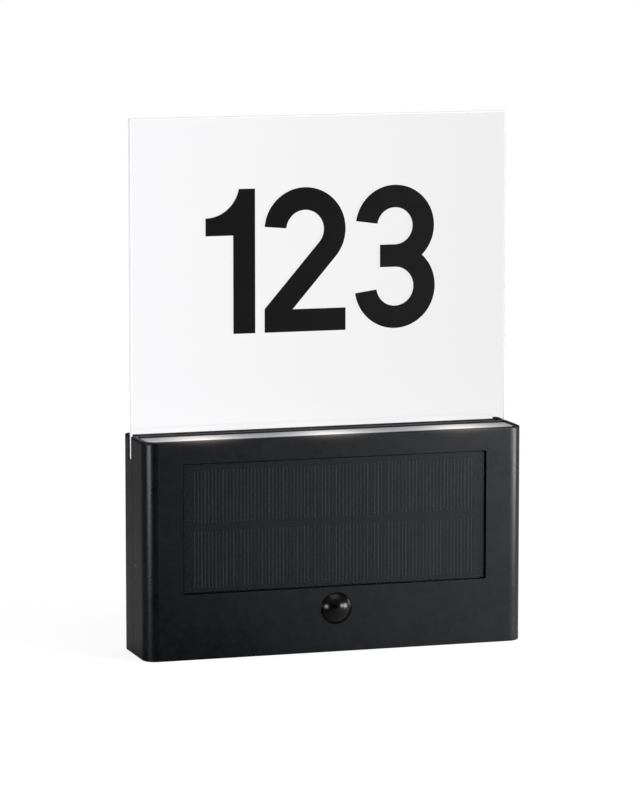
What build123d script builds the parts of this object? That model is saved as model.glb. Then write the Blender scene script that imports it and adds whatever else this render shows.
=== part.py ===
"""Illuminated house number sign: a solar wall light that lights a clear number plate.

Millimetres, +Z up. The sign faces -Y and its back lies in the wall plane Y = 0.
The shapes are built with Z = 0 at the underside of the housing. Each one is then moved
down by the hanging height, so that the part's origin is the point of the wall plane
midway between the two screws that it hangs on.
"""
from build123d import *
import os
from math import cos, radians, sin

# ---------------------------------------------------------------- overall sizes
sign_width = 201.0
housing_height = 111.5
housing_depth = 40.0
back_cover_depth = 16.5
hang_height = 80.5
wall = 2.5
front_corner_radius = 7.0
back_corner_radius = 3.0
edge_radius = 0.8
seam_groove = 0.35

# ---------------------------------------------------------------- number plate and its slot
plate_height = 172.0
plate_thickness = 4.0
plate_end_inset = 0.5
plate_setback = 10.0
plate_bevel = 0.3
slot_depth = 12.0
slot_front_gap = 0.2
slot_rear_gap = 1.0
slot_floor_thickness = 2.5
ear_width = 3.0
rear_top_drop = 1.0
core_pocket_count = 6
core_rib = 2.0
grip_pad_length = 20.0
grip_pad_height = 8.0
grip_pad_pitch = 62.0
grip_pad_count = 3
grip_clearance = 0.15

# ---------------------------------------------------------------- digits on the plate
digit_height = 73.5
digit_width = 43.0
digit_one_width = 26.0
digit_stroke = 11.5
digit_gap = 5.0
digit_film = 0.3
digit_rise = 62.0
one_flag_top = 59.0
one_flag_low = 50.0
one_shoulder = 3.0
two_start_angle = 175.0
two_tail_angle = -41.0
three_end_angle = 172.0
three_top_radius = 21.0
three_bar_top = 43.0
three_bar_length = 8.0

# ---------------------------------------------------------------- light strip
front_rim = 2.0
side_rim = 2.5
rear_rim = 1.2
diffuser_recess = 0.75
diffuser_thickness = 2.0
diffuser_ledge = 1.5
diffuser_clearance = 0.15
light_chamber_height = 6.35
light_shelf_thickness = 1.5
led_board_end_gap = 4.0
led_board_width = 12.0
led_board_thickness = 1.2
led_board_setback = 4.5
led_count = 3
led_pitch = 69.0
led_length = 5.7
led_width = 3.0
led_height = 0.9
led_screw_pitch = 92.0
led_boss_length = 4.5

# ---------------------------------------------------------------- solar panel
recess_side = 20.0
recess_top_drop = 11.5
recess_bottom = 33.5
recess_corner = 0.8
panel_setback = 1.5
panel_gap = 0.7
panel_cover = 0.5
cell_thickness = 0.2
panel_board = 1.0
panel_adhesive = 0.4
adhesive_inset = 3.0
adhesive_width = 6.0
recess_floor = 1.5
recess_margin = 3.0
cells_per_row = 5
cell_gap = 0.2
cells_side_margin = 5.3
cells_low_margin = 2.8
cells_top_margin = 4.0
cells_row_gap = 4.5
lower_row_share = 0.52

# ---------------------------------------------------------------- motion sensor
lens_height = 22.5
dome_radius = 8.0
dome_rise = 4.6
lens_wall = 1.0
lens_clearance = 0.2
lens_flange = 1.6
lens_flange_thickness = 1.2
retainer_thickness = 1.5
retainer_inner_radius = 7.2
collar_wall = 1.5
collar_clearance = 0.1
sensor_radius = 4.6
sensor_height = 4.2
sensor_window_side = 4.0
sensor_window_thickness = 0.2

# ---------------------------------------------------------------- main board
board_width = 90.0
board_bottom = 6.5
board_height = 33.5
board_thickness = 1.6
board_setback = 11.2
board_boss_radius = 2.8
board_screw_inset_x = 5.0
board_screw_inset_z = 4.5
connector_pitch = 22.0
connector_width = 6.0
connector_depth = 5.0
connector_height = 4.5
connector_drop = 2.0

# ---------------------------------------------------------------- button and its switch
button_x = 30.0
button_radius = 4.2
button_clearance = 0.3
button_recess = 0.4
button_edge = 0.5
button_flange_radius = 5.6
button_flange_thickness = 1.0
button_stem_radius = 1.8
button_stem_length = 0.9
button_travel = 0.8
button_seal_radius = 6.0
button_seal_thickness = 0.8
button_seal_gap = 0.1
switch_width = 7.0
switch_depth = 5.0
switch_height = 6.0
plunger_radius = 1.5
plunger_clearance = 0.15
plunger_reach = 3.2
plunger_depth = 2.5
plunger_gap = 0.05

# ---------------------------------------------------------------- battery, its bay and its door
cell_radius = 9.2
cell_length = 65.0
cell_nub_radius = 3.0
cell_nub_length = 1.0
cell_clearance = 0.2
bay_side_gap = 0.5
bay_end_space = 3.2
bay_wall = 1.5
bay_centre_height = 21.0
door_thickness = 2.0
door_recess = 0.2
door_clearance = 0.2
door_margin_x = 10.3
door_margin_z = 3.3
door_ledge = 2.8
door_screw_inset = 4.0
door_travel = 30.0
seal_width = 1.0
seal_thickness = 0.7
seal_offset = 0.8
contact_thickness = 0.4
contact_half_height = 6.0
contact_half_depth = 5.0
contact_gap = 0.1
contact_dimple_radius = 2.5
leaf_half_width = 3.0
tab_half_height = 2.0
tab_reach = 2.3
tab_clearance = 0.2

# ---------------------------------------------------------------- wall fixing
keyhole_pitch = 120.0
keyhole_radius = 4.5
keyhole_slot_radius = 2.2
keyhole_drop = 8.0
keyhole_pocket_depth = 5.0
keyhole_pocket_gap = 0.6
keyhole_wall = 1.5

# ---------------------------------------------------------------- screws, gasket and leads
case_screw_inset = 12.0
case_screw_top_pitch = 60.0
case_screw_low_pitch = 104.0
case_screw_low_rise = 10.0
case_screw_top_drop = 5.5
case_screw_radius = 1.5
case_screw_length = 18.0
case_head_radius = 3.0
case_head_height = 2.4
case_head_depth = 8.0
boss_radius = 3.5
boss_hole_depth = 11.0
small_screw_radius = 1.0
small_head_radius = 1.9
small_head_height = 1.0
small_screw_length = 6.0
door_screw_radius = 1.25
door_screw_length = 8.0
door_head_radius = 2.6
door_head_height = 1.0
door_boss_radius = 3.0
screw_clearance = 0.05
head_clearance = 0.2
shank_clearance = 0.2
head_rounding = 0.3
cross_length_share = 0.65
cross_width_share = 0.14
gasket_width = 1.2
gasket_depth = 0.8
lead_radius = 0.6
lead_spacing = 1.3
lead_bend = 3.6
lead_straight = 0.2
lead_drop = 10.8
lead_hole_clearance = 0.6
panel_lead_inset = 20.0
panel_lead_drop = 4.0
stiffener_thickness = 1.5
stiffener_height = 3.0
stiffener_pitch = 44.0

# ---------------------------------------------------------------- small parts on the main board
chip_x = -22.5
chip_rise = 8.5
chip_width = 5.0
chip_height = 4.0
chip_thickness = 1.6
chip_leg_count = 4
chip_leg_pitch = 1.27
chip_leg_width = 0.4
chip_leg_span = 6.0
chip_leg_thickness = 0.3
coil_x = -30.0
coil_rise = 20.0
coil_side = 6.0
coil_height = 3.2
capacitor_x = 16.0
capacitor_rise = 18.5
capacitor_radius = 3.15
capacitor_height = 5.4

# ---------------------------------------------------------------- places worked out from the sizes
past = 1.0  # how far a cut runs past the face that it opens
everything = (-2 * sign_width, 2 * sign_width)
half_width = sign_width / 2
front_y = -housing_depth
seam_y = -back_cover_depth
inner_front_y = front_y + wall
slot_floor_z = housing_height - slot_depth
plate_back_y = -plate_setback
plate_front_y = plate_back_y - plate_thickness
slot_front_y = plate_front_y - slot_front_gap
slot_back_y = plate_back_y + slot_rear_gap
cavity_top_z = slot_floor_z - slot_floor_thickness

diffuser_top_z = housing_height - diffuser_recess
diffuser_low_z = diffuser_top_z - diffuser_thickness
shelf_top_z = diffuser_low_z - light_chamber_height
shelf_low_z = shelf_top_z - light_shelf_thickness
light_front_y = front_y + front_rim
light_back_y = seam_y - rear_rim
light_half_width = half_width - side_rim
led_board_y = front_y + led_board_setback + led_board_width / 2
led_top_z = shelf_top_z + led_board_thickness

recess_width = sign_width - 2 * recess_side
recess_height = housing_height - recess_top_drop - recess_bottom
recess_z = recess_bottom + recess_height / 2
lens_collar_radius = dome_radius + lens_flange + collar_clearance
panel_lead_x = recess_width / 2 - panel_lead_inset
panel_lead_z = recess_z - panel_lead_drop
panel_face_y = front_y + panel_setback
cover_back_y = panel_face_y + panel_cover
cell_back_y = cover_back_y + cell_thickness
panel_back_y = cell_back_y + panel_board
recess_floor_y = panel_back_y + panel_adhesive
recess_inner_y = recess_floor_y + recess_floor
panel_width = recess_width - 2 * panel_gap
panel_height = recess_height - 2 * panel_gap

board_front_y = front_y + board_setback
board_back_y = board_front_y + board_thickness
board_top = board_bottom + board_height
connector_top = board_top - connector_drop
connector_y = board_front_y - connector_depth / 2
button_y = board_front_y - switch_depth / 2

flange_low_z = wall + button_seal_thickness + button_seal_gap
flange_top_z = flange_low_z + button_flange_thickness
stem_top_z = flange_top_z + button_stem_length
plunger_low_z = stem_top_z + plunger_gap
switch_low_z = plunger_low_z + plunger_reach

bay_half_length = cell_length / 2 + bay_end_space
bay_half_height = cell_radius + bay_side_gap
door_inner_y = -(door_thickness + door_recess)
cell_y = door_inner_y - cell_clearance - cell_radius
bay_floor_y = cell_y - cell_radius - cell_clearance
bay_outer_y = bay_floor_y - bay_wall
door_half_length = bay_half_length + door_margin_x
door_half_height = bay_half_height + door_margin_z
keyhole_entry_z = hang_height - keyhole_drop

battery_lead_bend = (bay_outer_y - tab_reach + lead_radius - connector_y - lead_straight) / 2

case_screw_x = half_width - case_screw_inset
case_screw_top_z = cavity_top_z - case_screw_top_drop
case_screws = [
    (side * x, z)
    for x, z in (
        (case_screw_x, case_screw_inset),
        (case_screw_low_pitch / 2, case_screw_low_rise),
        (case_screw_x, case_screw_top_z),
        (case_screw_top_pitch / 2, case_screw_top_z),
    )
    for side in (-1, 1)
]
board_screws = [
    (side * (board_width / 2 - board_screw_inset_x), z)
    for z in (board_bottom + board_screw_inset_z, board_top - board_screw_inset_z)
    for side in (-1, 1)
]
door_screws = [(side * (door_half_length - door_screw_inset), bay_centre_height) for side in (-1, 1)]


# ---------------------------------------------------------------- building blocks
def block(x_span, y_span, z_span):
    """A box between the low and high value on each axis."""
    spans = (x_span, y_span, z_span)
    size = [high - low for low, high in spans]
    centre = [(low + high) / 2 for low, high in spans]
    return Pos(*centre) * Box(*size)


def around(centre, half):
    """The span that reaches half to each side of a centre."""
    return (centre - half, centre + half)


def rod_x(y, z, x_span, radius):
    """A round bar along X."""
    low, high = x_span
    return Pos((low + high) / 2, y, z) * Rot(0, 90, 0) * Cylinder(radius, high - low)


def rod_y(x, z, y_span, radius):
    """A round bar along Y."""
    low, high = y_span
    return Pos(x, (low + high) / 2, z) * Rot(90, 0, 0) * Cylinder(radius, high - low)


def rod_z(x, y, z_span, radius):
    """A round bar along Z."""
    low, high = z_span
    return Pos(x, y, (low + high) / 2) * Cylinder(radius, high - low)


def plan_block(half, y_span, z_span, front_radius, back_radius):
    """A bar along X with its upright front and back corners rounded."""
    low_y, high_y = y_span
    outline = Pos(0, (low_y + high_y) / 2) * Rectangle(2 * half, high_y - low_y)
    corners = outline.vertices().sort_by(Axis.Y)
    if front_radius > 0:
        outline = fillet(corners[:2], front_radius)
    if back_radius > 0:
        outline = fillet(outline.vertices().sort_by(Axis.Y)[-2:], back_radius)
    return Pos(0, 0, z_span[0]) * extrude(outline, z_span[1] - z_span[0])


def face_block(x, z, width, height, y_span, corner):
    """A plate across Y with its four corners rounded."""
    outline = RectangleRounded(width, height, corner) if corner > 0 else Rectangle(width, height)
    plate = extrude(Plane.XZ * outline, y_span[1] - y_span[0])
    return Pos(x, y_span[1], z) * plate


def ring_block(half_x, z_span, width, y_span):
    """A rectangular ring across Y, with its centre line on the given half width and Z span."""
    half_ring = width / 2
    low, high = z_span
    outer = block(around(0, half_x + half_ring), y_span, (low - half_ring, high + half_ring))
    inner_y = (y_span[0] - past, y_span[1] + past)
    return outer - block(around(0, half_x - half_ring), inner_y, (low + half_ring, high - half_ring))


def screw_y(x, z, head_y, radius, length, head_radius, head_height):
    """A pan-head screw driven in from behind, with the underside of its head at head_y."""
    head_end = head_y + head_height
    shank = rod_y(x, z, (head_y - length, head_y), radius)
    head = rod_y(x, z, (head_y, head_end), head_radius)
    head = fillet(head.edges().sort_by(Axis.Y)[-1], head_height * head_rounding)
    cross_y = (head_end - head_height / 2, head_end + past)
    cross_reach = head_radius * cross_length_share
    cross_half = head_radius * cross_width_share
    upright = block(around(x, cross_half), cross_y, around(z, cross_reach))
    level = block(around(x, cross_reach), cross_y, around(z, cross_half))
    return shank + head - upright - level


def envelope():
    """The outside of the closed housing."""
    body = plan_block(
        half_width,
        (front_y, 0),
        (0, housing_height),
        front_corner_radius,
        back_corner_radius,
    )
    body = fillet(body.edges().group_by(Axis.Z)[0], edge_radius)
    return fillet(body.edges().group_by(Axis.Z)[-1], edge_radius)


# ---------------------------------------------------------------- housing
def light_well(inset, z_span):
    """The rounded space of the light strip, smaller by inset all round."""
    return plan_block(
        light_half_width - inset,
        (light_front_y + inset, light_back_y - inset),
        z_span,
        front_corner_radius - front_rim,
        0,
    )


def make_front_housing():
    shell = envelope() & block(everything, (front_y - past, seam_y), everything)
    cavity = plan_block(
        half_width - wall,
        (inner_front_y, seam_y + past),
        (wall, shelf_low_z),
        front_corner_radius - wall,
        0,
    )
    backing = block(
        around(0, recess_width / 2 + recess_margin),
        (inner_front_y - past, recess_inner_y),
        (recess_bottom - recess_margin, shelf_low_z + light_shelf_thickness / 2),
    )
    shell = shell - cavity + backing
    for x, z in case_screws:
        shell = shell + rod_y(x, z, (inner_front_y - past, seam_y), boss_radius)
    for x, z in board_screws:
        shell = shell + rod_y(x, z, (inner_front_y - past, board_front_y), board_boss_radius)
    for side in (-1, 1):
        boss_z = (shelf_low_z - led_boss_length, shelf_low_z + light_shelf_thickness / 2)
        shell = shell + rod_z(side * led_screw_pitch / 2, led_board_y, boss_z, board_boss_radius)
    collar_y = (inner_front_y - past, inner_front_y + lens_flange_thickness + retainer_thickness)
    shell = shell + rod_y(0, lens_height, collar_y, lens_collar_radius + collar_wall)

    # openings and pockets
    shell = shell - light_well(0, (diffuser_low_z, housing_height + past))
    shell = shell - light_well(diffuser_ledge, (shelf_top_z, housing_height))
    shell = shell - face_block(
        0, recess_z, recess_width, recess_height, (front_y - past, recess_floor_y), recess_corner
    )
    lens_bore_y = (front_y - past, inner_front_y)
    shell = shell - rod_y(0, lens_height, lens_bore_y, dome_radius + lens_clearance)
    collar_bore_y = (inner_front_y, collar_y[1] + past)
    shell = shell - rod_y(0, lens_height, collar_bore_y, lens_collar_radius)
    for x, z in case_screws:
        bore_y = (seam_y - boss_hole_depth, seam_y + past)
        shell = shell - rod_y(x, z, bore_y, case_screw_radius + screw_clearance)
    for x, z in board_screws:
        bore_y = (board_front_y - small_screw_length + board_thickness - past / 2, board_front_y + past)
        shell = shell - rod_y(x, z, bore_y, small_screw_radius + screw_clearance)
    for side in (-1, 1):
        bore_z = (led_top_z - small_screw_length - past / 2, shelf_top_z + past)
        bore = rod_z(side * led_screw_pitch / 2, led_board_y, bore_z, small_screw_radius + screw_clearance)
        shell = shell - bore
    shell = shell - rod_z(button_x, button_y, (-past, wall + past), button_radius + button_clearance)
    hole_radius = lead_spacing + lead_radius + lead_hole_clearance
    shell = shell - rod_z(panel_lead_x, connector_y, (shelf_low_z - past, shelf_top_z + past), hole_radius)
    solar_hole_y = (recess_floor_y - past, recess_inner_y + past)
    return shell - rod_y(-panel_lead_x, panel_lead_z, solar_hole_y, hole_radius)


def keyhole_cut(x):
    """A round entry, the narrow slot above it and the pocket behind them for the screw's head."""
    through = (-wall - past, past)
    entry = rod_y(x, keyhole_entry_z, through, keyhole_radius)
    top = rod_y(x, hang_height, through, keyhole_slot_radius)
    slot = block(around(x, keyhole_slot_radius), through, (keyhole_entry_z, hang_height))
    pocket_half = keyhole_radius + keyhole_pocket_gap
    pocket = block(
        around(x, pocket_half),
        (-wall - keyhole_pocket_depth, -wall),
        (keyhole_entry_z - pocket_half, hang_height + pocket_half),
    )
    return entry + top + slot + pocket


def make_back_cover():
    shell = envelope() & block(everything, (seam_y, past), everything)
    groove = shell & block(everything, (seam_y - past, seam_y + seam_groove), everything)
    core = plan_block(
        half_width - seam_groove,
        (seam_y - past, past),
        (seam_groove, housing_height - seam_groove),
        0,
        0,
    )
    shell = shell - (groove - core)
    shell = shell - block(around(0, half_width - wall), (seam_y - past, -wall), (wall, cavity_top_z))

    # slot for the plate, lowered rear edge between the ears, coring behind the slot
    shell = shell - block(everything, (slot_front_y, slot_back_y), (slot_floor_z, housing_height + past))
    middle = around(0, half_width - ear_width)
    rear_top_z = housing_height - rear_top_drop
    shell = shell - block(middle, (slot_back_y - past, past), (rear_top_z, housing_height + past))
    pitch = (sign_width - 2 * ear_width - core_rib) / core_pocket_count
    for index in range(core_pocket_count):
        low_x = -half_width + ear_width + core_rib + index * pitch
        pocket_x = (low_x, low_x + pitch - core_rib)
        shell = shell - block(pocket_x, (slot_back_y + wall, past), (slot_floor_z, rear_top_z - wall))

    # towers, battery bay, door frame, keyhole boxes and ribs stand on the rear wall
    inside_y = -wall / 2
    for x, z in case_screws:
        tower_radius = case_head_radius + head_clearance + bay_wall
        shell = shell + rod_y(x, z, (seam_y, inside_y), tower_radius)
    bay_x = around(0, bay_half_length + bay_wall)
    bay_z = around(bay_centre_height, bay_half_height + bay_wall)
    shell = shell + block(bay_x, (bay_outer_y, inside_y), bay_z)
    frame_y = (door_inner_y - door_ledge, inside_y)
    frame_x = around(0, door_half_length + bay_wall)
    frame_z = around(bay_centre_height, door_half_height + bay_wall)
    shell = shell + block(frame_x, frame_y, frame_z)
    for x, z in door_screws:
        boss_y = (door_inner_y - door_screw_length - bay_wall, inside_y)
        shell = shell + rod_y(x, z, boss_y, door_boss_radius)
    box_half = keyhole_radius + keyhole_pocket_gap + keyhole_wall
    for side in (-1, 1):
        box_y = (-wall - keyhole_pocket_depth - keyhole_wall, inside_y)
        box_z = (keyhole_entry_z - box_half, hang_height + box_half)
        shell = shell + block(around(side * keyhole_pitch / 2, box_half), box_y, box_z)
        rib_x = around(side * stiffener_pitch / 2, stiffener_thickness / 2)
        rib_z = (frame_z[1] - past, cavity_top_z + past)
        shell = shell + block(rib_x, (-wall - stiffener_height, inside_y), rib_z)

    # holes from the rear
    for x, z in case_screws:
        shell = shell - rod_y(x, z, (seam_y - past, past), case_screw_radius + shank_clearance)
        head_y = (-case_head_depth, past)
        shell = shell - rod_y(x, z, head_y, case_head_radius + head_clearance)
    bay_z = around(bay_centre_height, bay_half_height)
    shell = shell - block(around(0, bay_half_length), (bay_floor_y, past), bay_z)
    door_z = around(bay_centre_height, door_half_height)
    shell = shell - block(around(0, door_half_length), (door_inner_y, past), door_z)
    shell = shell - door_seal_ring()
    for x, z in door_screws:
        bore_y = (door_inner_y - door_screw_length, past)
        shell = shell - rod_y(x, z, bore_y, door_screw_radius + screw_clearance)
    for side in (-1, 1):
        tab_centre = side * (bay_half_length - contact_thickness / 2)
        tab_x = around(tab_centre, contact_thickness / 2 + tab_clearance)
        tab_z = around(bay_centre_height, tab_half_height + tab_clearance)
        shell = shell - block(tab_x, (bay_outer_y - past, bay_floor_y + past), tab_z)
        shell = shell - keyhole_cut(side * keyhole_pitch / 2)
    return shell - gasket_ring()


def gasket_ring():
    """The seal between the two shells, in a groove of the back cover."""
    return ring_block(
        half_width - wall / 2,
        (wall / 2, shelf_top_z + wall / 2),
        gasket_width,
        (seam_y, seam_y + gasket_depth),
    )


def door_seal_ring():
    """The seal of the battery door, in a groove round the bay."""
    offset = seal_offset + seal_width / 2
    return ring_block(
        bay_half_length + offset,
        around(bay_centre_height, bay_half_height + offset),
        seal_width,
        (door_inner_y - seal_thickness, door_inner_y),
    )


def make_case_screws():
    size = (case_screw_radius, case_screw_length, case_head_radius, case_head_height)
    return [screw_y(x, z, -case_head_depth, *size) for x, z in case_screws]


# ---------------------------------------------------------------- number plate
def make_number_plate():
    plate = block(
        around(0, half_width - plate_end_inset),
        (plate_front_y, plate_back_y),
        (slot_floor_z, slot_floor_z + plate_height),
    )
    return chamfer(plate.edges(), plate_bevel)


def place_digit(face, left):
    """Stand a flat digit on the plate's front face with its left edge at the given X."""
    film = extrude(Plane.XZ * (Pos(left, slot_floor_z + digit_rise) * face), digit_film)
    return Pos(0, plate_front_y, 0) * film


def sector(centre, radius, start, stop):
    """A pie slice, drawn as a fan of points well outside the ring that it cuts."""
    cx, cy = centre
    steps = 12
    angles = [start + (stop - start) * index / steps for index in range(steps + 1)]
    rim = [(cx + 2 * radius * cos(radians(a)), cy + 2 * radius * sin(radians(a))) for a in angles]
    return make_face(Polyline(centre, *rim, close=True))


def arc_stroke(centre, radius, start, stop):
    """A curved stroke of the digits' weight, with its outside at the given radius."""
    ring = Pos(*centre) * (Circle(radius) - Circle(radius - digit_stroke))
    return ring & sector(centre, radius, start, stop)


def digit_one():
    stem_left = digit_one_width - digit_stroke
    shoulder = (stem_left + one_shoulder, digit_height)
    outline = Polyline(
        shoulder,
        (digit_one_width, digit_height),
        (digit_one_width, 0),
        (stem_left, 0),
        (stem_left, one_flag_low),
        (0, one_flag_low),
        (0, one_flag_top),
    )
    sweep_up = TangentArc((0, one_flag_top), shoulder, tangent=(1, 0))
    return make_face(outline + sweep_up)


def digit_two():
    radius = digit_width / 2
    centre = (radius, digit_height - radius)
    bowl = arc_stroke(centre, radius, two_start_angle, two_tail_angle)
    middle = radius - digit_stroke / 2
    start_x = centre[0] + middle * cos(radians(two_tail_angle))
    start_y = centre[1] + middle * sin(radians(two_tail_angle))
    reach = 2 * digit_height
    leg = Pos(0, -reach / 2) * Rectangle(digit_stroke, reach)
    leg = Pos(start_x, start_y) * Rot(0, 0, two_tail_angle) * leg
    frame = Pos(radius, digit_height / 2) * Rectangle(digit_width, digit_height)
    foot = Pos(radius, digit_stroke / 2) * Rectangle(digit_width, digit_stroke)
    return bowl + (leg & frame) + foot


def digit_three():
    radius = digit_width / 2
    low = arc_stroke((radius, radius), radius, 90, -three_end_angle)
    top_centre = (radius, digit_height - three_top_radius)
    top = arc_stroke(top_centre, three_top_radius, three_end_angle, -90)
    bar = Rectangle(three_bar_length, digit_stroke)
    return low + top + Pos(radius - three_bar_length / 2, three_bar_top - digit_stroke / 2) * bar


def make_digits():
    """The digits 1, 2 and 3, side by side and centred on the plate."""
    total = digit_one_width + 2 * digit_width + 2 * digit_gap
    one_left = -total / 2
    two_left = one_left + digit_one_width + digit_gap
    three_left = two_left + digit_width + digit_gap
    return {
        "digit_one": place_digit(digit_one(), one_left),
        "digit_two": place_digit(digit_two(), two_left),
        "digit_three": place_digit(digit_three(), three_left),
    }


def make_grip_pads():
    """Rubber pads behind the plate that hold it in its slot."""
    pads = []
    pad_y = (plate_back_y + grip_clearance, slot_back_y)
    pad_z = (slot_floor_z, slot_floor_z + grip_pad_height)
    for index in range(grip_pad_count):
        x = (index - (grip_pad_count - 1) / 2) * grip_pad_pitch
        pads.append(block(around(x, grip_pad_length / 2), pad_y, pad_z))
    return pads


# ---------------------------------------------------------------- light strip
def make_diffuser():
    return light_well(diffuser_clearance, (diffuser_low_z, diffuser_top_z))


def make_led_board():
    board = block(
        around(0, light_half_width - diffuser_ledge - led_board_end_gap),
        around(led_board_y, led_board_width / 2),
        (shelf_top_z, led_top_z),
    )
    for side in (-1, 1):
        hole_z = (shelf_top_z - past, led_top_z + past)
        hole_radius = small_screw_radius + shank_clearance
        board = board - rod_z(side * led_screw_pitch / 2, led_board_y, hole_z, hole_radius)
    return board


def make_leds():
    leds = []
    for index in range(led_count):
        x = (index - (led_count - 1) / 2) * led_pitch
        span_y = around(led_board_y, led_width / 2)
        leds.append(block(around(x, led_length / 2), span_y, (led_top_z, led_top_z + led_height)))
    return leds


def make_led_screws():
    screws = []
    for side in (-1, 1):
        x = side * led_screw_pitch / 2
        shank = rod_z(x, led_board_y, (led_top_z - small_screw_length, led_top_z), small_screw_radius)
        head = rod_z(x, led_board_y, (led_top_z, led_top_z + small_head_height), small_head_radius)
        slot = block(
            around(x, small_head_radius + past),
            around(led_board_y, small_head_radius * cross_width_share),
            (led_top_z + small_head_height / 2, led_top_z + small_head_height + past),
        )
        screws.append(shank + head - slot)
    return screws


# ---------------------------------------------------------------- solar panel
def make_solar_cover():
    return face_block(
        0, recess_z, panel_width, panel_height, (panel_face_y, cover_back_y), recess_corner / 2
    )


def make_solar_board():
    return face_block(0, recess_z, panel_width, panel_height, (cell_back_y, panel_back_y), recess_corner / 2)


def make_solar_cells():
    cells = []
    cells_width = recess_width - 2 * cells_side_margin
    pitch = (cells_width + cell_gap) / cells_per_row
    low_z = recess_bottom + cells_low_margin
    high_z = recess_bottom + recess_height - cells_top_margin
    middle_z = low_z + (high_z - low_z - cells_row_gap) * lower_row_share
    for row_z in ((low_z, middle_z), (middle_z + cells_row_gap, high_z)):
        for index in range(cells_per_row):
            low_x = -cells_width / 2 + index * pitch
            cells.append(block((low_x, low_x + pitch - cell_gap), (cover_back_y, cell_back_y), row_z))
    return cells


def make_solar_adhesive():
    half_x = panel_width / 2 - adhesive_inset - adhesive_width / 2
    half_z = panel_height / 2 - adhesive_inset - adhesive_width / 2
    return ring_block(half_x, around(recess_z, half_z), adhesive_width, (panel_back_y, recess_floor_y))


# ---------------------------------------------------------------- motion sensor
def dome(inset, back_y):
    """A spherical nose that ends in a straight tube, smaller by inset all round."""
    ball_radius = (dome_radius**2 + dome_rise**2) / (2 * dome_rise)
    ball = Pos(0, front_y - dome_rise + ball_radius, lens_height) * Sphere(ball_radius - inset)
    tube = rod_y(0, lens_height, (front_y - 2 * dome_rise, back_y), dome_radius - inset)
    nose = ball & tube
    return nose + (tube & block(everything, (front_y, back_y), everything))


def make_motion_lens():
    back_y = inner_front_y + lens_flange_thickness
    lens = dome(0, back_y)
    lens = lens + rod_y(0, lens_height, (inner_front_y, back_y), dome_radius + lens_flange)
    return lens - dome(lens_wall, back_y + past)


def make_lens_retainer():
    low_y = inner_front_y + lens_flange_thickness
    span = (low_y, low_y + retainer_thickness)
    ring = rod_y(0, lens_height, span, dome_radius + lens_flange)
    return ring - rod_y(0, lens_height, (span[0] - past, span[1] + past), retainer_inner_radius)


def make_motion_sensor():
    rim_height = sensor_height / 8
    can = rod_y(0, lens_height, (board_front_y - sensor_height, board_front_y), sensor_radius - rim_height)
    return can + rod_y(0, lens_height, (board_front_y - rim_height, board_front_y), sensor_radius)


def make_sensor_window():
    face = board_front_y - sensor_height
    side = sensor_window_side / 2
    return block(around(0, side), (face - sensor_window_thickness, face), around(lens_height, side))


# ---------------------------------------------------------------- main board and what is on it
def make_main_board():
    board = block(
        around(0, board_width / 2),
        (board_front_y, board_back_y),
        (board_bottom, board_top),
    )
    for x, z in board_screws:
        hole_y = (board_front_y - past, board_back_y + past)
        board = board - rod_y(x, z, hole_y, small_screw_radius + shank_clearance)
    return board


def make_board_screws():
    size = (small_screw_radius, small_screw_length, small_head_radius, small_head_height)
    return [screw_y(x, z, board_back_y, *size) for x, z in board_screws]


def on_board(x, z, width, height, depth):
    """A block that sits on the board's front face."""
    return block(around(x, width / 2), (board_front_y - depth, board_front_y), around(z, height / 2))


def make_connectors():
    size = (connector_width, connector_height, connector_depth)
    z = connector_top - connector_height / 2
    return [on_board(index * connector_pitch, z, *size) for index in (-1, 0, 1)]


def make_control_chip():
    """A chip with two rows of legs."""
    z = board_bottom + chip_rise
    chip = on_board(chip_x, z, chip_width, chip_height, chip_thickness)
    for index in range(chip_leg_count):
        leg_x = chip_x + (index - (chip_leg_count - 1) / 2) * chip_leg_pitch
        chip = chip + on_board(leg_x, z, chip_leg_width, chip_leg_span, chip_leg_thickness)
    return chip


def make_power_coil():
    return on_board(coil_x, board_bottom + coil_rise, coil_side, coil_side, coil_height)


def make_storage_capacitor():
    span_y = (board_front_y - capacitor_height, board_front_y)
    return rod_y(capacitor_x, board_bottom + capacitor_rise, span_y, capacitor_radius)


# ---------------------------------------------------------------- button and switch
def make_mode_button():
    cap = rod_z(button_x, button_y, (button_recess, flange_low_z), button_radius)
    cap = fillet(cap.edges().sort_by(Axis.Z)[0], button_edge)
    cap = cap + rod_z(button_x, button_y, (flange_low_z, flange_top_z), button_flange_radius)
    return cap + rod_z(button_x, button_y, (flange_top_z, stem_top_z), button_stem_radius)


def make_button_seal():
    seal_z = (wall, wall + button_seal_thickness)
    ring = rod_z(button_x, button_y, seal_z, button_seal_radius)
    inner_z = (seal_z[0] - past, seal_z[1] + past)
    return ring - rod_z(button_x, button_y, inner_z, button_radius + button_clearance)


def make_switch_body():
    body = block(
        around(button_x, switch_width / 2),
        (board_front_y - switch_depth, board_front_y),
        (switch_low_z, switch_low_z + switch_height),
    )
    bore_z = (switch_low_z - past, switch_low_z + plunger_depth + 2 * button_travel)
    return body - rod_z(button_x, button_y, bore_z, plunger_radius + plunger_clearance)


def make_switch_plunger():
    return rod_z(button_x, button_y, (plunger_low_z, switch_low_z + plunger_depth), plunger_radius)


# ---------------------------------------------------------------- battery, contacts and door
def make_battery_cell():
    """The rechargeable cell, lying along X with its raised pole at +X."""
    end_x = cell_length / 2
    shoulder_x = end_x - cell_nub_length
    can = rod_x(cell_y, bay_centre_height, (-end_x, shoulder_x), cell_radius)
    can = fillet(can.edges().sort_by(Axis.X)[-1], cell_nub_length)
    return can + rod_x(cell_y, bay_centre_height, (shoulder_x, end_x), cell_nub_radius)


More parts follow.
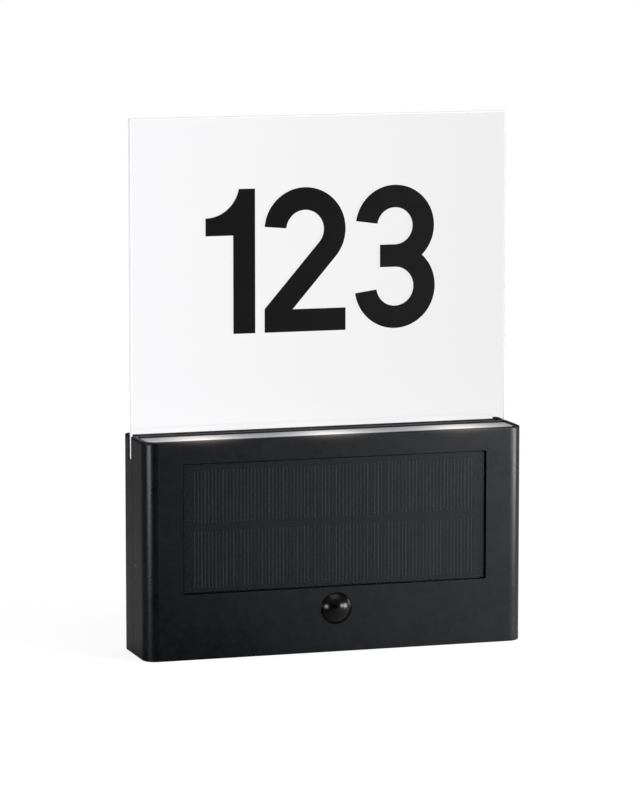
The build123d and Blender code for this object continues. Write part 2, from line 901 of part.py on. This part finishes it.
def contact_plate(side):
    """A contact's flat plate on the bay's end wall, with its tab through the bay's floor."""
    outer_x = side * bay_half_length
    plate_x = sorted((outer_x, outer_x - side * contact_thickness))
    plate = block(plate_x, around(cell_y, contact_half_depth), around(bay_centre_height, contact_half_height))
    tab_y = (bay_outer_y - tab_reach, cell_y)
    return plate + block(plate_x, tab_y, around(bay_centre_height, tab_half_height))


def make_positive_contact():
    dimple_x = (cell_length / 2 + contact_gap, bay_half_length - contact_thickness)
    dimple = rod_x(cell_y, bay_centre_height, dimple_x, contact_dimple_radius)
    dimple = fillet(dimple.edges().sort_by(Axis.X)[0], contact_dimple_radius / 3)
    return contact_plate(1) + dimple


def make_negative_contact():
    """The plate with a bowed leaf that presses on the cell's flat end."""
    root_x = -bay_half_length + contact_thickness
    tip_x = -cell_length / 2 - contact_gap
    low_z = bay_centre_height - contact_half_height
    high_z = bay_centre_height + contact_half_height
    thickness = contact_thickness
    outer = ThreePointArc((root_x, low_z), (tip_x, bay_centre_height), (root_x, high_z))
    inner = ThreePointArc(
        (root_x, high_z - 2 * thickness),
        (tip_x - thickness, bay_centre_height),
        (root_x, low_z + 2 * thickness),
    )
    upper = Line((root_x, high_z), (root_x, high_z - 2 * thickness))
    lower = Line((root_x, low_z + 2 * thickness), (root_x, low_z))
    profile = make_face(outer + upper + inner + lower)
    leaf = Pos(0, cell_y + leaf_half_width, 0) * extrude(Plane.XZ * profile, 2 * leaf_half_width)
    return contact_plate(-1) + leaf


def make_battery_door():
    door = face_block(
        0,
        bay_centre_height,
        2 * (door_half_length - door_clearance),
        2 * (door_half_height - door_clearance),
        (door_inner_y, -door_recess),
        0,
    )
    for x, z in door_screws:
        door = door - rod_y(x, z, (door_inner_y - past, past), door_screw_radius + shank_clearance)
        sink_y = (-door_recess - door_head_height - head_clearance, past)
        door = door - rod_y(x, z, sink_y, door_head_radius + head_clearance)
    return door


def make_door_screws():
    size = (door_screw_radius, door_screw_length, door_head_radius, door_head_height)
    head_y = -door_recess - door_head_height - head_clearance
    return [screw_y(x, z, head_y, *size) for x, z in door_screws]


# ---------------------------------------------------------------- leads
def lead(points, bend):
    """One insulated lead: a round tube along straight runs joined by arcs."""
    route = FilletPolyline(*points, radius=bend)
    start = Vector(*points[0])
    along = Vector(*points[1]) - start
    section = Plane(origin=start, z_dir=along) * Circle(lead_radius)
    return sweep(section, path=route)


def solar_lead(sign):
    """From the back of the solar panel to its connector."""
    shift = sign * lead_spacing / 2
    x = shift - panel_lead_x
    y = connector_y + shift
    z = panel_lead_z + shift
    run_z = connector_top + lead_drop + shift
    plug_x = shift - connector_pitch
    points = [(x, panel_back_y, z), (x, y, z), (x, y, run_z), (plug_x, y, run_z), (plug_x, y, connector_top)]
    return lead(points, lead_bend)


def light_lead(sign):
    """From the light board's underside to its connector."""
    shift = sign * lead_spacing / 2
    x = panel_lead_x + shift
    y = connector_y + shift
    run_z = connector_top + lead_drop + shift
    plug_x = connector_pitch + shift
    points = [(x, y, shelf_top_z), (x, y, run_z), (plug_x, y, run_z), (plug_x, y, connector_top)]
    return lead(points, lead_bend)


def battery_lead(side):
    """From a battery contact's tab, over the top of the main board, to the middle connector."""
    x = side * (bay_half_length - contact_thickness / 2)
    y = bay_outer_y - tab_reach + lead_radius
    start_z = bay_centre_height + tab_half_height
    over_z = board_top + lead_drop + side * lead_spacing
    plug_x = side * lead_spacing / 2
    points = [
        (x, y, start_z),
        (x, y, over_z),
        (plug_x, y, over_z),
        (plug_x, connector_y, over_z),
        (plug_x, connector_y, connector_top),
    ]
    return lead(points, battery_lead_bend)


# ---------------------------------------------------------------- write every sub-part
def export(name, shape):
    """Write one sub-part, moved from the underside's level to the hanging height."""
    solids = shape if isinstance(shape, list) else [shape]
    pieces = [solid for item in solids for solid in item.solids()]
    moved = [Pos(0, 0, -hang_height) * piece for piece in pieces]
    whole = moved[0] if len(moved) == 1 else Compound(children=moved)
    export_step(whole, f"parts/{name}.step")


def main():
    os.makedirs("parts", exist_ok=True)
    nodes = {
        "front_housing": make_front_housing(),
        "back_cover": make_back_cover(),
        "housing_gasket": gasket_ring(),
        "housing_screws": make_case_screws(),
        "number_plate": make_number_plate(),
        "plate_grip_pads": make_grip_pads(),
        "light_diffuser": make_diffuser(),
        "led_board": make_led_board(),
        "leds": make_leds(),
        "led_board_screws": make_led_screws(),
        "solar_cover": make_solar_cover(),
        "solar_cells": make_solar_cells(),
        "solar_board": make_solar_board(),
        "solar_adhesive": make_solar_adhesive(),
        "motion_lens": make_motion_lens(),
        "lens_retainer": make_lens_retainer(),
        "motion_sensor": make_motion_sensor(),
        "sensor_window": make_sensor_window(),
        "main_board": make_main_board(),
        "main_board_screws": make_board_screws(),
        "lead_connectors": make_connectors(),
        "control_chip": make_control_chip(),
        "power_coil": make_power_coil(),
        "storage_capacitor": make_storage_capacitor(),
        "mode_button": make_mode_button(),
        "button_seal": make_button_seal(),
        "switch_body": make_switch_body(),
        "switch_plunger": make_switch_plunger(),
        "battery_cell": make_battery_cell(),
        "positive_contact": make_positive_contact(),
        "negative_contact": make_negative_contact(),
        "battery_door": make_battery_door(),
        "battery_door_seal": door_seal_ring(),
        "battery_door_screws": make_door_screws(),
        "solar_lead_red": solar_lead(1),
        "solar_lead_black": solar_lead(-1),
        "light_lead_red": light_lead(1),
        "light_lead_black": light_lead(-1),
        "battery_lead_red": battery_lead(1),
        "battery_lead_black": battery_lead(-1),
    }
    nodes.update(make_digits())
    for name, shape in nodes.items():
        export(name, shape)
    print("lead radius", lead_radius, "bends", lead_bend, "and", round(battery_lead_bend, 2))


main()
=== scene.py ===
"""Studio scene of an illuminated house number sign. Metres, in the same frame as the solids:
X to the reader's right, -Y out of the wall, +Z up, origin between the two hanging screws."""
import math

import bpy
from mathutils import Matrix, Vector


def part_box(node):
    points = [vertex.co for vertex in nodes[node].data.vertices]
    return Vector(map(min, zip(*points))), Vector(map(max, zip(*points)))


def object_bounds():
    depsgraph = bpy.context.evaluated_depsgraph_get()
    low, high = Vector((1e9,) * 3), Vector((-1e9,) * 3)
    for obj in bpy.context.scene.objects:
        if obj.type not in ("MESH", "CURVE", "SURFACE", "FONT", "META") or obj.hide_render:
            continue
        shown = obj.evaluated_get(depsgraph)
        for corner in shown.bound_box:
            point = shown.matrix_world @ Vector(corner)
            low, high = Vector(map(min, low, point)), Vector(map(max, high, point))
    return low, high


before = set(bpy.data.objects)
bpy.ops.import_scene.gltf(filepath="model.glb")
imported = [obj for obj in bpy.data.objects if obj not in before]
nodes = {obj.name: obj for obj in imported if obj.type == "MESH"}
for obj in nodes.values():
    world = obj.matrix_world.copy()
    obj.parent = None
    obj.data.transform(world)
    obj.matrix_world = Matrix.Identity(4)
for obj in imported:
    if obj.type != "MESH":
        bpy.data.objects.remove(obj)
cad_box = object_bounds()
scene = bpy.context.scene

MM = 0.001
WHITE = (1.0, 1.0, 1.0)
MIX_FACTOR, MIX_FIRST, MIX_SECOND, MIX_RESULT = 0, 6, 7, 2      # the Mix node's sockets for colours

# three lamps in a row: one in the middle and one at each end, half a lamp's length in
led_low, led_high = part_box("leds")
led_half = 2.85 * MM
lamp_places = (led_low.x + led_half, 0.0, led_high.x - led_half)


# ---------------------------------------------------------------- small helpers for shader nodes
def new_material(name):
    mat = bpy.data.materials.new(name)
    mat.use_nodes = True
    tree = mat.node_tree
    tree.nodes.clear()
    out = tree.nodes.new("ShaderNodeOutputMaterial")
    bsdf = tree.nodes.new("ShaderNodeBsdfPrincipled")
    tree.links.new(bsdf.outputs["BSDF"], out.inputs["Surface"])
    return mat, tree, bsdf


def put(tree, value, slot):
    """Link a node's output to a socket, or set the socket to a number or to an opaque colour."""
    if isinstance(value, bpy.types.NodeSocket):
        tree.links.new(value, slot)
    elif isinstance(value, tuple):
        slot.default_value = (*value, 1.0)
    else:
        slot.default_value = value


def shade(tree, bsdf, **sockets):
    """Feed the shader. An underscore stands for a space in a socket's name."""
    for name, value in sockets.items():
        put(tree, value, bsdf.inputs[name.replace("_", " ")])


def place(tree):
    """Object coordinates: metres in the part's own frame."""
    return tree.nodes.new("ShaderNodeTexCoord").outputs["Object"]


def split(tree):
    """The three coordinates of the shaded point, one by one."""
    node = tree.nodes.new("ShaderNodeSeparateXYZ")
    tree.links.new(place(tree), node.inputs["Vector"])
    return node.outputs["X"], node.outputs["Y"], node.outputs["Z"]


def noise(tree, scale, detail=2.0, rough=0.5, stretch=None):
    """Noise with features about 1 / scale metres across, longer along an axis whose stretch is under 1."""
    node = tree.nodes.new("ShaderNodeTexNoise")
    node.inputs["Scale"].default_value = scale
    node.inputs["Detail"].default_value = detail
    node.inputs["Roughness"].default_value = rough
    source = place(tree)
    if stretch:
        mapping = tree.nodes.new("ShaderNodeMapping")
        mapping.inputs["Scale"].default_value = stretch
        tree.links.new(source, mapping.inputs["Vector"])
        source = mapping.outputs["Vector"]
    tree.links.new(source, node.inputs["Vector"])
    return node.outputs["Fac"]


def spread(tree, value, low=0.0, high=1.0, start=0.3, end=0.7):
    """Map start..end onto low..high and hold the ends. A noise lies mostly between 0.3 and 0.7."""
    node = tree.nodes.new("ShaderNodeMapRange")
    node.inputs["From Min"].default_value = start
    node.inputs["From Max"].default_value = end
    node.inputs["To Min"].default_value = low
    node.inputs["To Max"].default_value = high
    tree.links.new(value, node.inputs["Value"])
    return node.outputs["Result"]


def maths(tree, operation, *values):
    node = tree.nodes.new("ShaderNodeMath")
    node.operation = operation
    for slot, value in zip(node.inputs, values):
        put(tree, value, slot)
    return node.outputs["Value"]


def plus(tree, first, second):
    return maths(tree, "ADD", first, second)


def minus(tree, first, second):
    return maths(tree, "SUBTRACT", first, second)


def times(tree, first, *others):
    for other in others:
        first = maths(tree, "MULTIPLY", first, other)
    return first


def average(tree, first, second):
    return plus(tree, times(tree, first, 0.5), times(tree, second, 0.5))


def largest(tree, first, second):
    return maths(tree, "MAXIMUM", first, second)


def blend_colour(tree, factor, first, second):
    node = tree.nodes.new("ShaderNodeMix")
    node.data_type = "RGBA"
    for index, value in ((MIX_FACTOR, factor), (MIX_FIRST, first), (MIX_SECOND, second)):
        put(tree, value, node.inputs[index])
    return node.outputs[MIX_RESULT]


def bump(tree, bsdf, height, distance):
    node = tree.nodes.new("ShaderNodeBump")
    node.inputs["Strength"].default_value = 1.0
    node.inputs["Distance"].default_value = distance
    tree.links.new(height, node.inputs["Height"])
    tree.links.new(node.outputs["Normal"], bsdf.inputs["Normal"])


def surface(name, colour, rough, grain=900.0, depth=0.01, vary=0.15, rough_vary=0.06, **sockets):
    """A base colour with fine mottling, uneven gloss and a fine grain in relief. depth is in millimetres."""
    mat, tree, bsdf = new_material(name)
    cloud_scale = grain / 14.0
    fine = noise(tree, grain, 3.0, 0.6)
    broad = noise(tree, cloud_scale)
    dark = tuple(c * (1 - vary) for c in colour)
    light = tuple(min(1.0, c * (1 + vary)) for c in colour)
    tint = blend_colour(tree, spread(tree, average(tree, fine, broad)), dark, light)
    gloss = spread(tree, broad, rough - rough_vary, rough + rough_vary)
    if depth:
        bump(tree, bsdf, fine, depth * MM)
    shade(tree, bsdf, Base_Color=tint, Roughness=gloss, **sockets)
    return mat


def hot_spots(tree, x, width):
    """One soft peak over each lamp of the light board."""
    total = None
    for centre in lamp_places:
        away = maths(tree, "DIVIDE", minus(tree, x, centre), width)
        peak = maths(tree, "EXPONENT", times(tree, away, away, -1.0))
        total = peak if total is None else plus(tree, total, peak)
    return total


def fade(tree, depth, reach):
    """1 at no depth, falling to about a third over each reach."""
    return maths(tree, "EXPONENT", maths(tree, "DIVIDE", depth, -reach))


# ---------------------------------------------------------------- materials
def painted_spill_light(tree, x, depth):
    """Painted glow of the strip's light on the shell under it: bright and short by the lamps, faint and
    longer all along.
    """
    peaks = hot_spots(tree, x, 14.5 * MM)
    near_reach = 0.9 * MM
    far_reach = 4 * near_reach
    far_share = 0.035
    between_lamps = 0.15
    near = times(tree, fade(tree, depth, near_reach), peaks)
    far = times(tree, fade(tree, depth, far_reach), far_share)
    return plus(tree, near, times(tree, far, plus(tree, peaks, between_lamps)))


def housing_plastic():
    """Black moulded plastic with a fine spark-eroded grain, duller on top, and with a painted warm glow of
    the strip's light under the strip.
    """
    mat, tree, bsdf = new_material("housing_plastic")
    grain = noise(tree, 2600.0, 3.0, 0.65)
    speck = noise(tree, 1250.0)
    cloud = noise(tree, 46.0, 3.0, 0.55)
    blotch = noise(tree, 190.0, 4.0, 0.7)
    speckled = blend_colour(tree, spread(tree, speck, start=0.58, end=0.76),
                            (0.0010, 0.0016, 0.0032), (0.0052, 0.0066, 0.0098))
    blotched = blend_colour(tree, spread(tree, blotch, start=0.36, end=0.64),
                            (0.0004, 0.0009, 0.0020), (0.0054, 0.0068, 0.0102))
    blotched_share = 0.55
    tint = blend_colour(tree, blotched_share, speckled, blotched)
    relief = plus(tree, times(tree, grain, 0.6), times(tree, speck, 0.8))
    bump(tree, bsdf, relief, 0.020 * MM)

    x, y, z = split(tree)
    low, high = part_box("front_housing")
    front_skin = 0.6 * MM
    top_skin = 1.4 * MM
    depth = minus(tree, high.z, z)
    on_front = maths(tree, "LESS_THAN", y, low.y + front_skin)
    on_top = times(tree, maths(tree, "LESS_THAN", depth, top_skin), minus(tree, 1.0, on_front))
    mottle = average(tree, cloud, noise(tree, 420.0, 2.0, 0.6))
    gloss = spread(tree, mottle, 0.25, 0.35)
    top_dulling = 0.3
    # strength of the painted glow that stands in for the strip's light falling on the front face
    painted_spill_strength = 0.16
    shade(tree, bsdf,
          Base_Color=tint,
          Roughness=plus(tree, gloss, times(tree, on_top, top_dulling)),
          Specular_IOR_Level=0.36,
          Emission_Strength=times(tree, painted_spill_light(tree, x, depth), on_front, painted_spill_strength),
          Emission_Color=(1.0, 0.86, 0.72))
    return mat


def clear_sheet():
    """Polished acrylic: clear through its faces, with painted shade towards the right, and satin white where
    its edges are sawn, with a painted glow where light comes out.
    """
    mat, tree, bsdf = new_material("clear_acrylic")
    low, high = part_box("number_plate")
    rim = 0.45 * MM
    x, _, z = split(tree)
    side = maths(tree, "GREATER_THAN", maths(tree, "ABSOLUTE", x), high.x - rim)
    top = maths(tree, "GREATER_THAN", z, high.z - rim)
    foot = maths(tree, "LESS_THAN", z, low.z + rim)
    glow_painted_edge = largest(tree, side, top)
    edge = largest(tree, glow_painted_edge, foot)
    # the clear face is tinted darker towards the right: painted shade
    across = spread(tree, x, start=low.x, end=high.x)
    face_with_painted_shade = blend_colour(tree, across, (0.985, 0.985, 1.0), (0.900, 0.898, 0.902))
    sawn = blend_colour(tree, spread(tree, noise(tree, 1500.0, 3.0, 0.6)), (0.97, 0.97, 0.98), WHITE)
    haze = spread(tree, noise(tree, 60.0), 0.015, 0.03)
    edge_cover = 0.9
    edge_rough = 0.4
    # the side and top edges get a painted glow in place of the strip's light coming out of them
    painted_edge_glow = 0.28
    shade(tree, bsdf,
          Base_Color=blend_colour(tree, edge, face_with_painted_shade, sawn),
          Transmission_Weight=minus(tree, 1.0, times(tree, edge, edge_cover)),
          Roughness=plus(tree, haze, times(tree, edge, edge_rough)),
          IOR=1.49,
          Emission_Strength=times(tree, glow_painted_edge, painted_edge_glow),
          Emission_Color=(0.97, 0.98, 1.0))
    return mat


def opal_strip():
    """Opal plastic lit from below by three lamps, brightest over them and towards the front."""
    mat, tree, bsdf = new_material("opal_plastic")
    low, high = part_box("light_diffuser")
    x, y, _ = split(tree)
    core = hot_spots(tree, x, 17 * MM)
    between_lamps = 0.29
    over_lamps = 0.78
    at_back = 0.40
    grain = spread(tree, noise(tree, 420.0), 0.94, 1.06)
    forward = spread(tree, y, 1.0, at_back, low.y, high.y)
    glow = plus(tree, times(tree, core, over_lamps), between_lamps)
    warm = blend_colour(tree, maths(tree, "MINIMUM", core, 1.0), (0.94, 0.93, 1.0), (1.0, 0.985, 0.94))
    tint = blend_colour(tree, spread(tree, noise(tree, 900.0)), (0.22, 0.22, 0.22), (0.26, 0.26, 0.26))
    shade(tree, bsdf,
          Base_Color=tint,
          Roughness=0.6,
          Specular_IOR_Level=0.12,
          Emission_Strength=times(tree, glow, forward, grain),
          Emission_Color=warm)
    return mat


def silicon():
    """Dark cells crossed by fine, unevenly printed fingers."""
    mat, tree, bsdf = new_material("silicon_cells")
    x, _, _ = split(tree)
    finger_pitch = 1.865 * MM
    count_from = 1.0        # metres to the left of the middle, which sets where the fingers fall
    phase = maths(tree, "FRACT", maths(tree, "DIVIDE", plus(tree, x, count_from), finger_pitch))
    off_centre = maths(tree, "ABSOLUTE", minus(tree, phase, 0.5))
    finger = spread(tree, off_centre, 1.0, 0.0, 0.09, 0.17)
    along_z = (1.0, 1.0, 0.02)
    uneven = spread(tree, noise(tree, 500.0, stretch=along_z), 0.25, 1.2, 0.35, 0.65)
    crystal = spread(tree, noise(tree, 120.0))
    base = blend_colour(tree, crystal, (0.018, 0.0200, 0.0262), (0.025, 0.0276, 0.0355))
    shade(tree, bsdf,
          Base_Color=blend_colour(tree, times(tree, finger, uneven), base, (0.185, 0.190, 0.205)),
          Roughness=spread(tree, crystal, 0.34, 0.46, 0.0, 1.0),
          Specular_IOR_Level=0.3)
    return mat


def panel_resin():
    """Clear satin sheet over the cells."""
    mat, tree, bsdf = new_material("panel_resin")
    haze = noise(tree, 1100.0, 3.0, 0.6)
    tint = blend_colour(tree, spread(tree, haze), (0.0040, 0.0052, 0.0085), (0.0056, 0.0068, 0.0105))
    bump(tree, bsdf, haze, 0.003 * MM)
    shade(tree, bsdf, Base_Color=tint, Roughness=spread(tree, haze, 0.29, 0.33), Alpha=0.5)
    return mat


def circuit_board(name, mask, copper):
    """Solder mask with tracks that show through it as slightly raised lines of another shade."""
    mat, tree, bsdf = new_material(name)
    maze = tree.nodes.new("ShaderNodeTexVoronoi")
    maze.distance = "MANHATTAN"
    maze.feature = "DISTANCE_TO_EDGE"
    maze.inputs["Scale"].default_value = 230.0
    tree.links.new(place(tree), maze.inputs["Vector"])
    track = spread(tree, maze.outputs["Distance"], 1.0, 0.0, 0.03, 0.06)
    bump(tree, bsdf, track, 0.02 * MM)
    shade(tree, bsdf,
          Base_Color=blend_colour(tree, track, mask, copper),
          Roughness=spread(tree, noise(tree, 300.0), 0.26, 0.36))
    return mat


def brushed(name, colour, rough, stretch):
    """Metal with fine drawn lines along one axis."""
    mat, tree, bsdf = new_material(name)
    lines = noise(tree, 1800.0, 3.0, 0.6, stretch)
    darker = tuple(c * 0.82 for c in colour)
    bump(tree, bsdf, lines, 0.004 * MM)
    shade(tree, bsdf,
          Base_Color=blend_colour(tree, spread(tree, lines), darker, colour),
          Roughness=spread(tree, lines, rough - 0.05, rough + 0.08),
          Metallic=1.0)
    return mat


def cell_sleeve():
    """The battery's shrink sleeve, with bare metal at both poles."""
    mat, tree, bsdf = new_material("battery_sleeve")
    low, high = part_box("battery_cell")
    positive_bare = 1.3 * MM
    negative_bare = 0.15 * MM
    bare_metal = (0.62, 0.61, 0.58)
    x, _, _ = split(tree)
    at_pole = largest(tree, maths(tree, "GREATER_THAN", x, high.x - positive_bare),
                      maths(tree, "LESS_THAN", x, low.x + negative_bare))
    sleeve = blend_colour(tree, spread(tree, noise(tree, 700.0)),
                          (0.018, 0.055, 0.115), (0.025, 0.07, 0.14))
    shade(tree, bsdf,
          Base_Color=blend_colour(tree, at_pole, sleeve, bare_metal),
          Metallic=at_pole,
          Roughness=spread(tree, noise(tree, 90.0), 0.24, 0.34))
    return mat


# the way the fine lines run on bare metal
drawn_along_y = (1.0, 0.06, 1.0)
drawn_along_z = (1.0, 1.0, 0.06)
can_along_y = (1.0, 0.05, 1.0)

steel = brushed("screw_steel", (0.55, 0.55, 0.56), 0.30, drawn_along_y)
contact = brushed("contact_nickel", (0.66, 0.64, 0.58), 0.26, drawn_along_z)
rubber = surface("seal_rubber", (0.014, 0.014, 0.015), 0.7, 1600.0, 0.02)
dark_moulding = surface("dark_moulding", (0.012, 0.012, 0.013), 0.45, 1500.0)
pale_moulding = surface("pale_moulding", (0.68, 0.66, 0.60), 0.5, 1200.0)
red_lead = surface("lead_red", (0.36, 0.012, 0.012), 0.42)
black_lead = surface("lead_black", (0.012, 0.012, 0.013), 0.42)
black_shell = housing_plastic()
film = surface("black_vinyl", (0.0022, 0.0022, 0.0024), 0.62, grain=1400.0, depth=0.004, vary=0.3,
               rough_vary=0.05, Specular_IOR_Level=0.12)
phosphor = surface("led_phosphor", (0.85, 0.72, 0.25), 0.4, grain=1500.0, depth=0.004,
                   Emission_Color=(1.0, 0.95, 0.82), Emission_Strength=2.5)
lens = surface("lens_black", (0.0012, 0.0014, 0.0016), 0.22, grain=500.0, depth=0.0, vary=0.2,
               rough_vary=0.02, Specular_IOR_Level=0.34)

looks = {
    "front_housing": black_shell,
    "back_cover": black_shell,
    "battery_door": black_shell,
    "housing_gasket": rubber,
    "plate_grip_pads": rubber,
    "button_seal": rubber,
    "battery_door_seal": rubber,
    "solar_adhesive": rubber,
    "housing_screws": steel,
    "led_board_screws": steel,
    "main_board_screws": steel,
    "battery_door_screws": steel,
    "number_plate": clear_sheet(),
    "digit_one": film,
    "digit_two": film,
    "digit_three": film,
    "light_diffuser": opal_strip(),
    "led_board": circuit_board("light_board", (0.74, 0.74, 0.72), (0.66, 0.66, 0.64)),
    "leds": phosphor,
    "solar_cover": panel_resin(),
    "solar_cells": silicon(),
    "solar_board": surface("panel_laminate", (0.0022, 0.0024, 0.0028), 0.75, 1200.0),
    "motion_lens": lens,
    "lens_retainer": dark_moulding,
    "motion_sensor": brushed("sensor_can", (0.60, 0.59, 0.56), 0.28, can_along_y),
    "sensor_window": surface("sensor_window", (0.02, 0.014, 0.014), 0.12, depth=0.0),
    "main_board": circuit_board("main_board", (0.012, 0.085, 0.035), (0.02, 0.14, 0.06)),
    "lead_connectors": pale_moulding,
    "control_chip": dark_moulding,
    "power_coil": surface("coil_ferrite", (0.05, 0.05, 0.052), 0.6, 1300.0, 0.015),
    "storage_capacitor": brushed("capacitor_can", (0.66, 0.66, 0.67), 0.3, can_along_y),
    "mode_button": surface("button_rubber", (0.010, 0.010, 0.011), 0.6, 1500.0, 0.02),
    "switch_body": dark_moulding,
    "switch_plunger": pale_moulding,
    "battery_cell": cell_sleeve(),
    "positive_contact": contact,
    "negative_contact": contact,
    "solar_lead_red": red_lead,
    "light_lead_red": red_lead,
    "battery_lead_red": red_lead,
    "solar_lead_black": black_lead,
    "light_lead_black": black_lead,
    "battery_lead_black": black_lead,
}
for name, node in nodes.items():
    for index in range(len(node.data.materials)):
        node.data.materials[index] = looks[name]


# ---------------------------------------------------------------- floor, world, lamps, camera
def floor_paint():
    """White to the camera, and next to the sign partly lit by the lamps, so that it takes a shadow. Gloss
    sees it bright to the right, up to a metre in front of the sign, faintly pale behind the sign, and dark
    elsewhere. From below it is clear, so that the underside shows."""
    mat, tree, bsdf = new_material("floor_paint")
    clear = tree.nodes.new("ShaderNodeBsdfTransparent")
    sides = tree.nodes.new("ShaderNodeMixShader")
    from_below, painted, see_through = sides.inputs
    tree.links.new(tree.nodes.new("ShaderNodeNewGeometry").outputs["Backfacing"], from_below)
    tree.links.new(bsdf.outputs["BSDF"], painted)
    tree.links.new(clear.outputs["BSDF"], see_through)
    tree.links.new(sides.outputs["Shader"], tree.get_output_node("ALL").inputs["Surface"])

    path = tree.nodes.new("ShaderNodeLightPath")
    seen = largest(tree, path.outputs["Is Camera Ray"], path.outputs["Is Transmission Ray"])
    gloss = path.outputs["Is Glossy Ray"]
    x, y, _ = split(tree)
    reach = maths(tree, "SQRT", plus(tree, times(tree, x, x), times(tree, y, y)))
    lit_share = spread(tree, reach, 0.42, 0.0, start=0.3, end=0.9)
    less_in_gloss = spread(tree, gloss, 1.0, 0.25, start=0.0, end=1.0)
    paint = times(tree, lit_share, less_in_gloss)
    grey = tree.nodes.new("ShaderNodeCombineColor")
    for channel in grey.inputs:
        tree.links.new(paint, channel)

    plain = times(tree, seen, spread(tree, reach, 0.78, 1.0, start=0.26, end=0.8))
    behind = spread(tree, y, 0.0, 0.16, start=-0.06, end=0.03)
    to_the_left = spread(tree, x, 1.0, 0.10, start=0.0, end=0.16)
    not_far_in_front = spread(tree, y, 0.0, 0.74, start=-1.00, end=-0.60)
    rise = spread(tree, x, 0.0, 1.0, start=-0.07, end=0.11)
    fall = spread(tree, x, 0.0, 0.34, start=0.15, end=0.29)
    to_the_right = minus(tree, rise, fall)
    bright = times(tree, not_far_in_front, to_the_right)
    pale = times(tree, behind, to_the_left)
    shade(tree, bsdf,
          Base_Color=grey.outputs["Color"],
          Roughness=0.9,
          Specular_IOR_Level=0.0,
          Emission_Strength=largest(tree, plain, times(tree, gloss, largest(tree, pale, bright))),
          Emission_Color=WHITE)
    return mat


def make_floor():
    level = cad_box[0].z
    half = 6.0
    mesh = bpy.data.meshes.new("floor")
    corners = [(-half, -half, level), (half, -half, level), (half, half, level), (-half, half, level)]
    mesh.from_pydata(corners, [], [(0, 1, 2, 3)])
    mesh.materials.append(floor_paint())
    floor = bpy.data.objects.new("floor", mesh)
    scene.collection.objects.link(floor)


def make_world():
    """White to the camera. Gloss sees grey behind the sign, paler to the right, and light from above. All
    other rays find an even, dim light."""
    world = bpy.data.worlds.new("studio")
    scene.world = world
    world.use_nodes = True
    tree = world.node_tree
    tree.nodes.clear()
    out = tree.nodes.new("ShaderNodeOutputWorld")
    back = tree.nodes.new("ShaderNodeBackground")
    tree.links.new(back.outputs["Background"], out.inputs["Surface"])
    path = tree.nodes.new("ShaderNodeLightPath")
    seen = largest(tree, path.outputs["Is Camera Ray"], path.outputs["Is Transmission Ray"])
    gloss = path.outputs["Is Glossy Ray"]
    coords = tree.nodes.new("ShaderNodeTexCoord")
    parts = tree.nodes.new("ShaderNodeSeparateXYZ")
    tree.links.new(coords.outputs["Generated"], parts.inputs["Vector"])
    sideways = spread(tree, parts.outputs["X"], 0.13, 0.24, start=0.4, end=1.0)
    behind = spread(tree, parts.outputs["Y"], 0.0, 1.0, start=-0.05, end=0.5)
    above = spread(tree, parts.outputs["Z"], 0.0, 0.25, start=0.2, end=0.9)
    mirrored = times(tree, gloss, largest(tree, times(tree, behind, sideways), above))
    dim = 0.35
    plain = times(tree, minus(tree, 1.0, gloss), dim)
    unseen = times(tree, minus(tree, 1.0, seen), plus(tree, mirrored, plain))
    put(tree, plus(tree, seen, unseen), back.inputs["Strength"])
    put(tree, WHITE, back.inputs["Color"])


# name, azimuth and elevation in degrees, distance, width and height in metres, radiance
SOFTBOXES = (
    ("softbox_right", 62.0, 1.0, 0.55, 0.25, 0.17, 14.0),
    ("softbox_left", -62.5, 1.0, 0.55, 0.21, 0.17, 9.0),
    ("softbox_key", 37.5, 7.0, 0.70, 0.22, 0.20, 13.6),
    ("softbox_top", 10.0, 78.0, 1.2, 1.0, 0.8, 0.9),
)


def softbox(name, azimuth, elevation, distance, width, height, radiance):
    """An area lamp that faces the sign. Azimuth 0 is straight in front, positive to the reader's right."""
    a, e = math.radians(azimuth), math.radians(elevation)
    target = Vector((0.0, -0.02, 0.0))
    away = Vector((math.sin(a) * math.cos(e), -math.cos(a) * math.cos(e), math.sin(e)))
    lamp = bpy.data.lights.new(name, "AREA")
    lamp.shape = "RECTANGLE"
    lamp.size = width
    lamp.size_y = height
    lamp.energy = radiance * math.pi * width * height
    holder = bpy.data.objects.new(name, lamp)
    holder.location = target + away * distance
    holder.rotation_mode = "QUATERNION"
    holder.rotation_quaternion = away.to_track_quat("Z", "Y")
    scene.collection.objects.link(holder)


def make_camera():
    """The photograph's viewpoint, solved from the corners of the housing and the plate."""
    eye = Vector((-0.6564, -2.1054, 0.3456))
    yaw = math.radians(17.411)
    pitch = math.radians(7.800)
    forward = Vector((math.sin(yaw) * math.cos(pitch), math.cos(yaw) * math.cos(pitch), -math.sin(pitch)))
    right = Vector((math.cos(yaw), -math.sin(yaw), 0.0))
    up = right.cross(forward)
    turn = Matrix((right, up, -forward)).transposed()
    data = bpy.data.cameras.new("camera")
    data.lens = 195.02
    data.sensor_width = 36.0
    data.clip_start = 0.05
    data.clip_end = 60.0
    camera = bpy.data.objects.new("camera", data)
    camera.matrix_world = Matrix.Translation(eye) @ turn.to_4x4()
    scene.collection.objects.link(camera)
    scene.camera = camera


make_floor()
make_world()
for row in SOFTBOXES:
    softbox(*row)
make_camera()
scene.view_settings.view_transform = "Standard"
